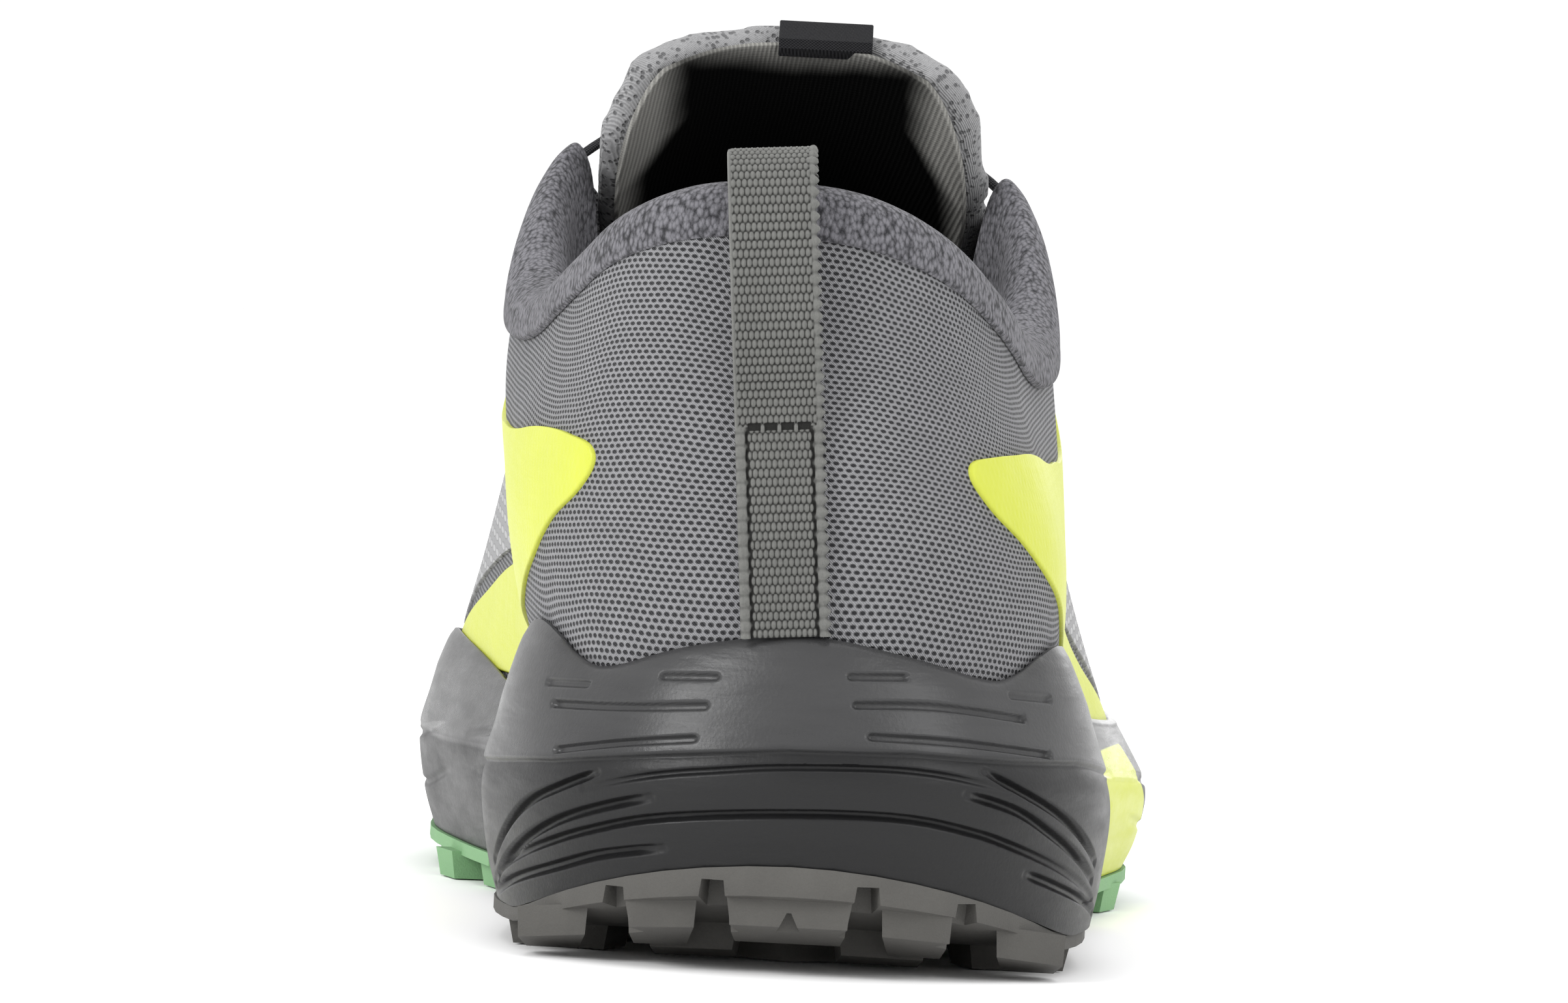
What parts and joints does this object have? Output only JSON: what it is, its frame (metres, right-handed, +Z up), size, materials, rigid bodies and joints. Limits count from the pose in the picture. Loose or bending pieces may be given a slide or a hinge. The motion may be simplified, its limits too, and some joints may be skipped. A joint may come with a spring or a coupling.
{
  "type": "running shoe",
  "caption": "Right trail running shoe with a padded collar, lugged rubber outsole, cord lacing with a sliding lock, and a heel pull loop.",
  "frame": {"origin": "on the ground plane, centred under the shoe's length and width", "axes": "+X to the outer (lateral) side of this right shoe, +Y from heel to toe, +Z up from the ground"},
  "size_m": [0.1096, 0.296, 0.1277],
  "materials": {
    "heel_rubber": "matte moulded rubber",
    "forefoot_rubber": "matte moulded rubber, mint green",
    "midsole_foam": "moulded EVA foam, satin skin",
    "board": "stitched fibre board",
    "sockliner_foam": "soft open foam",
    "sockliner_cloth": "fine knit",
    "mesh": "engineered mesh with staggered pores",
    "lining": "spacer lining",
    "counter": "thermoplastic stiffener",
    "toe_film": "bonded protective film",
    "neon_film": "bonded film, neon yellow",
    "grey_film": "bonded film, light grey",
    "dark_film": "bonded film, dark grey",
    "padding": "soft foam padding",
    "collar_cloth": "nubby spacer knit",
    "tongue_mesh": "chunky mesh",
    "tongue_cloth": "fine ribbed knit",
    "tape": "woven tape",
    "webbing": "woven webbing",
    "cord": "braided cord",
    "lock_plastic": "textured moulding",
    "button_plastic": "textured moulding",
    "spring_steel": "bright wire"
  },
  "bodies": {
    "shoe": {"outsole_heel": "heel_rubber", "outsole_forefoot": "forefoot_rubber", "midsole": "midsole_foam", "strobel_board": "board", "upper_mesh": "mesh", "vamp_lining": "lining", "quarter_lining": "lining", "heel_counter": "counter", "toe_cap": "toe_film", "neon_overlay_lateral": "neon_film", "neon_overlay_medial": "neon_film", "side_overlay_lateral": "grey_film", "side_overlay_medial": "grey_film", "eyestay_lateral": "dark_film", "eyestay_medial": "dark_film", "collar_foam": "padding", "collar_lining": "collar_cloth", "heel_pull_tab": "webbing", "lace_loops_lateral": "tape", "lace_loops_medial": "tape", "lace": "cord", "cord_end_cap": "lock_plastic"},
    "tongue": {"tongue_cover": "tongue_mesh", "tongue_foam": "padding", "tongue_lining": "tongue_cloth", "tongue_loop": "tape"},
    "sockliner": {"sockliner_foam": "sockliner_foam", "sockliner_cover": "sockliner_cloth"},
    "lock": {"lock_body": "lock_plastic", "lock_spring": "spring_steel"},
    "button": {"lock_button": "button_plastic"}
  },
  "joints": [
    {"name": "tongue_hinge", "type": "hinge", "parent": "shoe", "child": "tongue", "pos_m": [-0.00375, 0.055, 0.058], "axis": [1, 0, 0], "range_deg": [0, 10], "stiffness_Nm_per_rad": 0.6, "springref_deg": -2.86},
    {"name": "sockliner_lift", "type": "hinge", "parent": "shoe", "child": "sockliner", "pos_m": [0, 0.132, 0.026], "axis": [-1, 0, 0], "range_deg": [0, 2.5]},
    {"name": "lock_slide", "type": "slide", "parent": "shoe", "child": "lock", "axis": [0, 0.8616, -0.5075], "range_m": [0, 0.03]},
    {"name": "button_press", "type": "slide", "parent": "lock", "child": "button", "axis": [0, -0.5075, -0.8616], "range_m": [0, 0.0015], "stiffness_N_per_m": 400, "springref_m": -0.001, "deforming": ["lock_spring"]}
  ]
}
